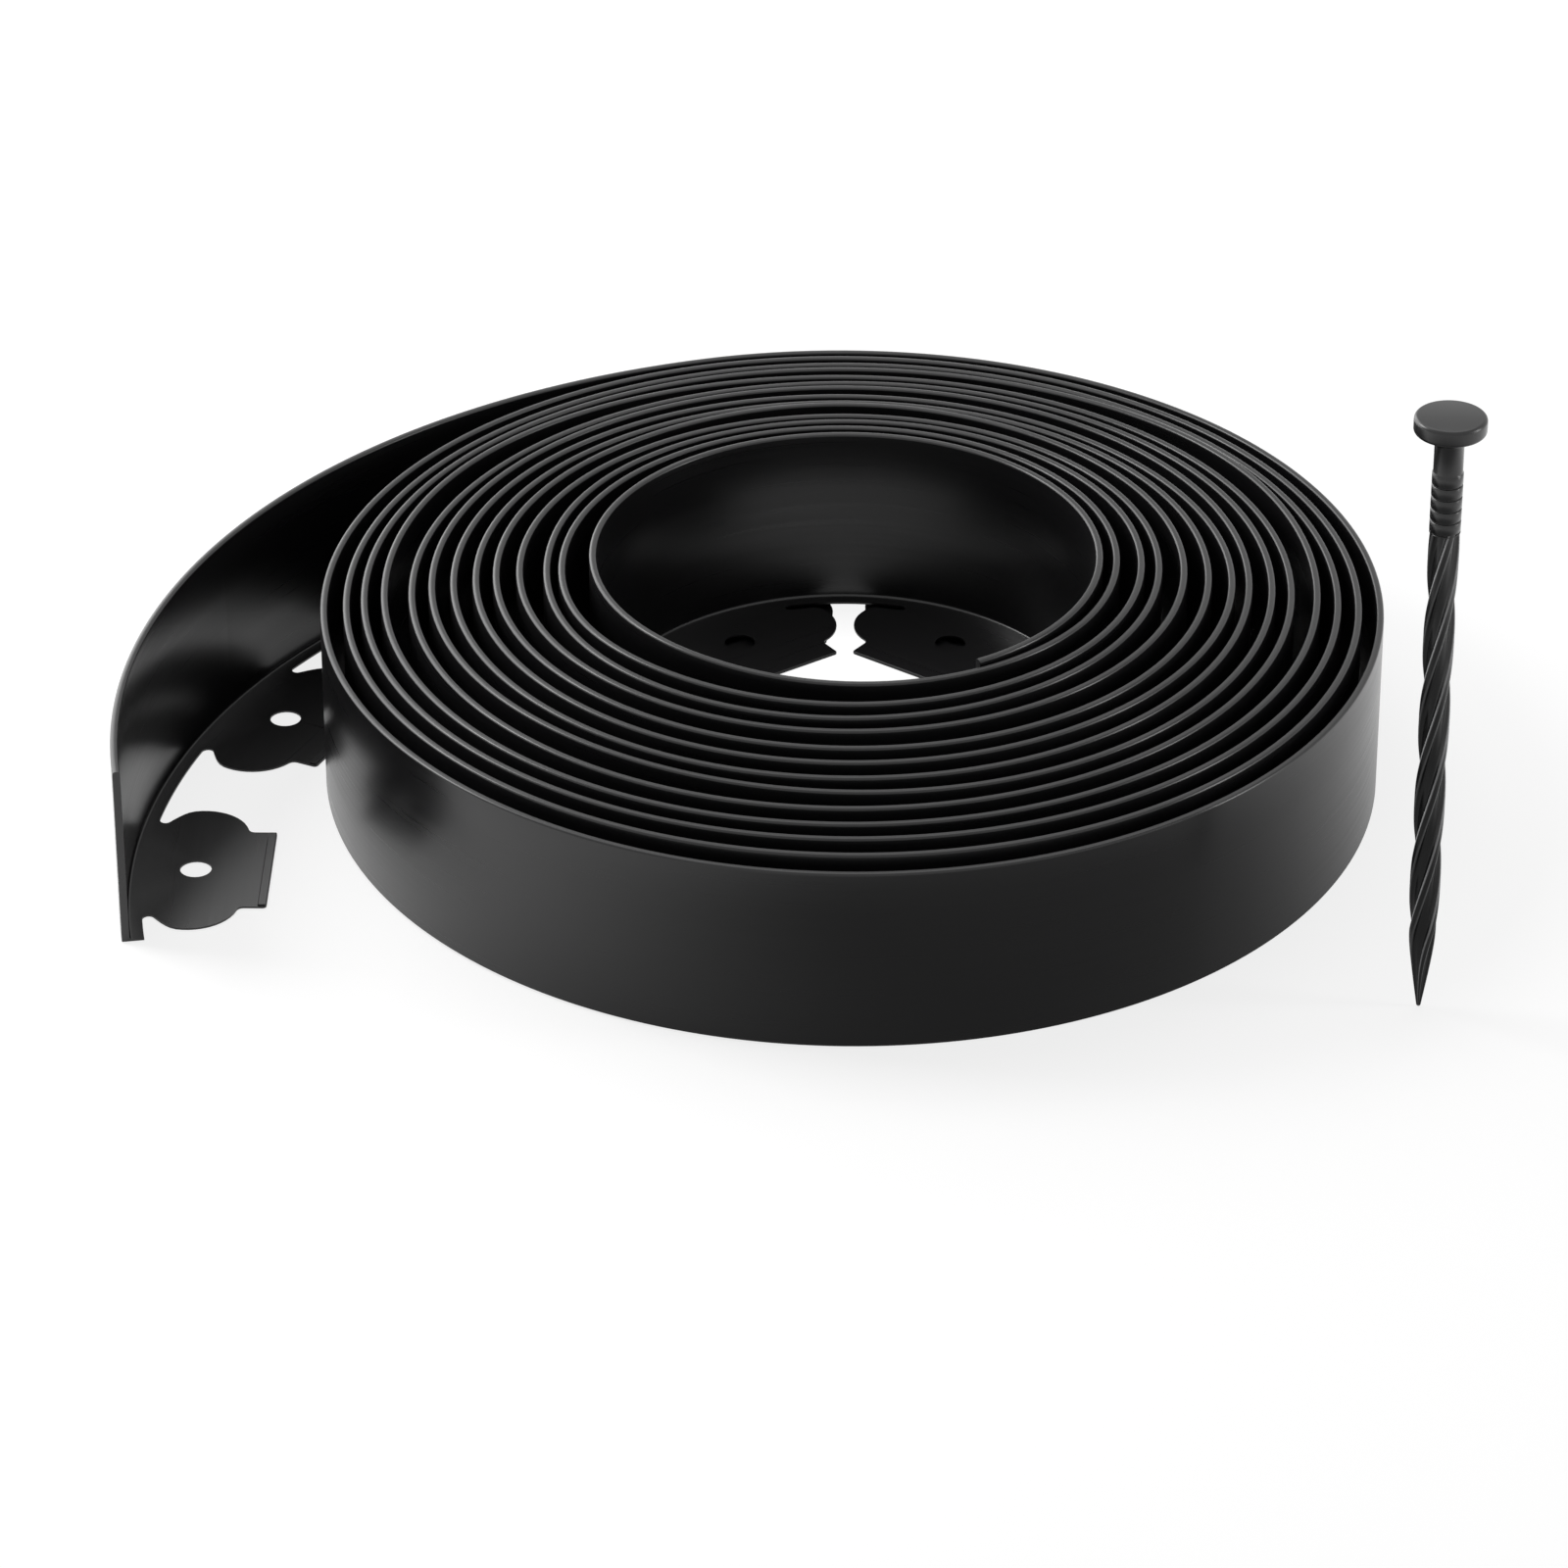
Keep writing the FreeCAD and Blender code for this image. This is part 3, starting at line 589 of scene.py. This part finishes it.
def bend_length(shape, index):
    """Bends a flat length round the path: its wall and foot curve, and its tab stays straight."""
    start, tab, end = lengths[index]
    unwound = shape.loops.layers.uv.verify()
    for face in shape.faces:
        for loop in face.loops:
            x, y, z = loop.vert.co
            loop[unwound].uv = ((index * PITCH + x) * MM, (z - y) * MM)
    zone = math.degrees(TAB_ZONE / (FREE_RADIUS if tab < 0 else wall_radius(tab / 360)))
    tab_point, tab_travel, tab_inward = strip_place(tab)
    for vert in shape.verts:
        x, y, z = vert.co
        beyond = (abs(x) - TAB_ZONE) / (PITCH / 2 - TAB_ZONE)
        if beyond <= 0:
            angle = tab + zone * x / TAB_ZONE
        elif x > 0:
            angle = tab + zone + (end - tab - zone) * beyond
        else:
            angle = tab - zone - (tab - zone - start) * beyond
        point, travel, inward = strip_place(angle)
        curved = point + inward * y
        straight = tab_point + tab_travel * x + tab_inward * y
        place = curved + (straight - curved) * smooth((y - RIGID_FROM) / (RIGID_TO - RIGID_FROM))
        vert.co = (place + Vector((0, 0, z + strip_level(angle)))) * MM + coil_centre


def strip_piece(name, parts):
    """Flat lengths, each with its number along the strip, bent and welded into one piece."""
    welded = bmesh.new()
    for flat, index in parts:
        bent = flat.copy()
        bend_length(bent, index)
        bent_mesh = bpy.data.meshes.new("bent_length")
        bent.to_mesh(bent_mesh)
        bent.free()
        welded.from_mesh(bent_mesh)
        bpy.data.meshes.remove(bent_mesh)
    bmesh.ops.remove_doubles(welded, verts=welded.verts, dist=STRIP_WELD)
    bmesh.ops.recalc_face_normals(welded, faces=welded.faces)
    mesh = bpy.data.meshes.new(name)
    welded.to_mesh(mesh)
    welded.free()
    mesh.shade_smooth()
    mesh.set_sharp_from_angle(angle=math.radians(STRIP_SHARP))
    mesh.materials.append(edging_plastic)
    piece = bpy.data.objects.new(name, mesh)
    bpy.context.scene.collection.objects.link(piece)
    return piece


# The rolled strip
# The wound part of the strip, from the middle of its first tab to its inner end. It is one
# unbroken spiral that lies on its flange, and nothing fixes it.
last = len(lengths) - 1
rolled = [(covered_ahead, FREE_TABS)]
rolled += [(covered_length, index) for index in range(FREE_TABS + 1, last)]
rolled.append((inner_last, last))
coil = strip_piece("edging_rolled", rolled)
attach(coil, "coil")
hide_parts("edging_coil")

# The free end
# The same strip going on past the coil, in three pieces that join in the middle of a tab.
BEND_REACH = 45
flex_parts = (
    ("edging_near", [(free_ahead, 2), (covered_behind, 3)], "coil", "near_length", "free_end_near"),
    ("edging_middle", [(free_ahead, 1), (free_behind, 2)], "near_length", "middle_length", "free_end_middle"),
    ("edging_tip", [(cut_first, 0), (free_behind, 1)], "middle_length", "tip_length", "free_end_tip"),
)
for name, parts, coil_side, tip_side, node in flex_parts:
    piece = strip_piece(name, parts)
    seam, travel, inward = strip_place(lengths[parts[0][1]][2])
    start = (seam + travel * BEND_REACH) * MM + coil_centre
    end = (seam - travel * BEND_REACH) * MM + coil_centre
    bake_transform(piece)
    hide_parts(node)

# The anchor spike
# Moulded in one piece of black polypropylene: a flat round head to hammer on, a plain shank, a
# band of ring grooves, four ribs that twist round a core, and a tapered four-edged point. It is
# loose, and stands on its point beside the coil.
SPIKE_LENGTH = 203
HEAD_RADIUS = 10.8
HEAD_RIM = 5.4
HEAD_HEIGHT = 8.2
HEAD_ROUND = 1.3
SHANK_RADIUS = 4.4
SHANK_HEIGHT = 10
BAND_RADIUS = 4.65
BAND_HEIGHT = 20
RING_COUNT = 5
RING_PITCH = 3.9
RING_DEPTH = 0.4
# The band's lower edge: inward from its surface, and up from its base
BAND_FOOT = ((0.3, 0), (0, 0.25))
# The band's surface ends this far under its top, and slopes in to the shank from there
BAND_SLOPE = 0.3
# A ring groove: inward from the band's surface, and up from the groove's middle
RING_GROOVE = (
    (0, -0.42),
    (0.1, -0.25),
    (RING_DEPTH, -0.12),
    (RING_DEPTH, 0.12),
    (0.1, 0.25),
    (0, 0.42),
)
# The shank's two ends: outward from its surface, and up from the band's top or the head's base
SHANK_FOOT = ((0.05, 0), (0, 0.3))
SHANK_FLARE = ((0, -0.8), (0.25, -0.1), (0.9, 0.35))
# The head's rim is rounded from one angle below to one above, with so many faces round each half
RIM_UNDER = -66
RIM_TOP = 84
RIM_UNDER_STEPS = 5
RIM_TOP_STEPS = 6
RIB_RADIUS = 4.6
RIB_LEAD = 112
RIB_PHASE = 24
# The ribs start this far up inside the band
RIB_TUCK = 1
# One rib from its middle to the groove's: degrees from the rib's middle, and radius
RIB_HALF = (
    (0, 4.60),
    (7, 4.60),
    (11.5, 4.56),
    (14.3, 4.42),
    (15.8, 4.15),
    (16.8, 3.75),
    (18.5, 3.35),
    (22, 3.10),
    (28, 3.0),
    (36, 3.0),
    (45, 3.0),
)
# A rib's two edges carry a painted highlight between these angles, its left one, seen from outside, brighter
HIGHLIGHT_FROM = 11
HIGHLIGHT_TO = 15
LEFT_HIGHLIGHT = 1
RIGHT_HIGHLIGHT = 0.3
POINT_HEIGHT = 29
POINT_CURVE = 1.15
TIP_RADIUS = 0.7
# The blunt tip in two rings: how far down, and how much smaller
TIP_ROUND = ((0.4, 0.85), (0.2, 0.6))
# Height of a ring of faces on the ribs, rings on the point, and faces round the head and shank
RING_STEP = 1
POINT_STEPS = 24
AROUND = 80
# Points this near, in millimetres, are welded, and edges sharper than so many degrees stay sharp
SPIKE_WELD = 0.0001
SPIKE_SHARP = 40
head_base = SPIKE_LENGTH - HEAD_HEIGHT
band_top = head_base - SHANK_HEIGHT
band_base = band_top - BAND_HEIGHT
rib_top = band_base + RIB_TUCK


def lower_ring(shape, edges, drop, twist, shrink):
    """Carries the rod's section down, turned and shrunk, and gives its new edges."""
    grown = bmesh.ops.extrude_edge_only(shape, edges=edges)["geom"]
    verts = [item for item in grown if isinstance(item, bmesh.types.BMVert)]
    turned = Matrix.Rotation(math.radians(-twist), 3, "Z")
    bmesh.ops.rotate(shape, verts=verts, cent=(0, 0, 0), matrix=turned)
    bmesh.ops.scale(shape, verts=verts, vec=(shrink, shrink, 1))
    bmesh.ops.translate(shape, verts=verts, vec=(0, 0, -drop))
    return [item for item in grown if isinstance(item, bmesh.types.BMEdge)]


# The ribs and the point: one section, carried down with a twist
spike_shape = bmesh.new()
painted_rib_highlight = spike_shape.verts.layers.float.new("painted_rib_highlight")
rib = [(-degrees, radius) for degrees, radius in RIB_HALF[:0:-1]] + list(RIB_HALF[:-1])
ring = []
for quarter in range(4):
    for degrees, radius in rib:
        turn = math.radians(RIB_PHASE + 90 * quarter + degrees)
        vert = spike_shape.verts.new((radius * math.cos(turn), radius * math.sin(turn), rib_top))
        # Painted highlight along the rib's edges, brighter on the left edge
        if HIGHLIGHT_FROM < abs(degrees) < HIGHLIGHT_TO:
            vert[painted_rib_highlight] = LEFT_HIGHLIGHT if degrees < 0 else RIGHT_HIGHLIGHT
        ring.append(vert)
edges = [spike_shape.edges.new(pair) for pair in zip(ring, ring[1:] + ring[:1])]
bmesh.ops.contextual_create(spike_shape, geom=edges)
twisted = rib_top - POINT_HEIGHT
steps = round(twisted / RING_STEP)
for step in range(steps):
    edges = lower_ring(spike_shape, edges, twisted / steps, 360 * twisted / steps / RIB_LEAD, 1)
radius = RIB_RADIUS
point_drop = (POINT_HEIGHT - TIP_RADIUS) / POINT_STEPS
for step in range(1, POINT_STEPS + 1):
    share = step / POINT_STEPS
    next_radius = RIB_RADIUS + (TIP_RADIUS - RIB_RADIUS) * share ** POINT_CURVE
    twist = 360 * POINT_HEIGHT / POINT_STEPS / RIB_LEAD * (1 - share)
    edges = lower_ring(spike_shape, edges, point_drop, twist, next_radius / radius)
    radius = next_radius
for drop, shrink in TIP_ROUND:
    edges = lower_ring(spike_shape, edges, drop, 0, shrink)
bmesh.ops.contextual_create(spike_shape, geom=edges)

# The band, the shank and the head: one line, spun round the spike's axis
profile = [(0, band_base)]
profile += [(BAND_RADIUS - inset, band_base + upward) for inset, upward in BAND_FOOT]
for number in range(RING_COUNT, 0, -1):
    ring_height = band_top - RING_PITCH * number
    profile += [(BAND_RADIUS - inset, ring_height + upward) for inset, upward in RING_GROOVE]
profile.append((BAND_RADIUS, band_top - BAND_SLOPE))
profile += [(SHANK_RADIUS + outset, band_top + upward) for outset, upward in SHANK_FOOT]
profile += [(SHANK_RADIUS + outset, head_base + upward) for outset, upward in SHANK_FLARE]
rim_low = (HEAD_RADIUS - HEAD_ROUND, SPIKE_LENGTH - HEAD_RIM + HEAD_ROUND)
rim_high = (HEAD_RADIUS - HEAD_ROUND, SPIKE_LENGTH - HEAD_ROUND)
profile += arc_points(rim_low, HEAD_ROUND, RIM_UNDER, 0, RIM_UNDER_STEPS)
profile += arc_points(rim_high, HEAD_ROUND, 0, RIM_TOP, RIM_TOP_STEPS)
profile.append((0, SPIKE_LENGTH))
line = [spike_shape.verts.new((across, 0, upward)) for across, upward in profile]
line_edges = [spike_shape.edges.new(pair) for pair in zip(line, line[1:])]
bmesh.ops.spin(
    spike_shape,
    geom=line + line_edges,
    cent=(0, 0, 0),
    axis=(0, 0, 1),
    angle=2 * math.pi,
    steps=AROUND,
    use_merge=True,
)
bmesh.ops.remove_doubles(spike_shape, verts=spike_shape.verts, dist=SPIKE_WELD)
bmesh.ops.recalc_face_normals(spike_shape, faces=spike_shape.faces)
bmesh.ops.scale(spike_shape, verts=spike_shape.verts, vec=(MM, MM, MM))
spike_foot = Vector(mounts["spike_shank"]["pos_m"][:2] + [0])
bmesh.ops.translate(spike_shape, verts=spike_shape.verts, vec=spike_foot)
spike_mesh = bpy.data.meshes.new("spike_moulding")
spike_shape.to_mesh(spike_mesh)
spike_shape.free()
spike_mesh.shade_smooth()
spike_mesh.set_sharp_from_angle(angle=math.radians(SPIKE_SHARP))

# The spike's polypropylene: near black, satin, with a fine grain, and a painted highlight along the ribs'
# edges
SPIKE_DARK = (0.003, 0.003, 0.0032, 1)
SPIKE_PALE = (0.007, 0.007, 0.0074, 1)
PAINTED_HIGHLIGHT = (0.45, 0.45, 0.455, 1)
SPIKE_SMOOTH = 0.24
SPIKE_ROUGH = 0.36
spike_plastic = bpy.data.materials.new("moulded_polypropylene")
spike_plastic.use_nodes = True
spike_nodes = spike_plastic.node_tree.nodes
spike_links = spike_plastic.node_tree.links
spike_satin = spike_nodes["Principled BSDF"]
spike_place = spike_nodes.new("ShaderNodeTexCoord")
spike_grain = add_noise(spike_plastic, spike_place.outputs["Object"], scale=1800, detail=2)
flow = add_noise(spike_plastic, spike_place.outputs["Object"], scale=60, detail=3)
spike_tone = spike_nodes.new("ShaderNodeMix")
spike_tone.data_type = "RGBA"
spike_tone.inputs["A"].default_value = SPIKE_DARK
spike_tone.inputs["B"].default_value = SPIKE_PALE
spike_links.new(flow, spike_tone.inputs["Factor"])
# The ribs' painted highlight: a pale colour along their edges
highlight_mask = spike_nodes.new("ShaderNodeAttribute")
highlight_mask.attribute_name = "painted_rib_highlight"
highlighted = spike_nodes.new("ShaderNodeMix")
highlighted.data_type = "RGBA"
highlighted.inputs["B"].default_value = PAINTED_HIGHLIGHT
spike_links.new(highlight_mask.outputs["Fac"], highlighted.inputs["Factor"])
spike_links.new(spike_tone.outputs["Result"], highlighted.inputs["A"])
spike_links.new(highlighted.outputs["Result"], spike_satin.inputs["Base Color"])
spike_sheen = spike_nodes.new("ShaderNodeMapRange")
spike_sheen.inputs["To Min"].default_value = SPIKE_SMOOTH
spike_sheen.inputs["To Max"].default_value = SPIKE_ROUGH
spike_links.new(flow, spike_sheen.inputs["Value"])
spike_links.new(spike_sheen.outputs[0], spike_satin.inputs["Roughness"])
spike_bump = add_bump(spike_plastic, spike_grain, strength=0.15, distance=0.00005)
spike_links.new(spike_bump.outputs[0], spike_satin.inputs["Normal"])
spike_mesh.materials.append(spike_plastic)
spike = bpy.data.objects.new("spike_moulding", spike_mesh)
bpy.context.scene.collection.objects.link(spike)
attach(spike, "spike")
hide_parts("anchor_spike")
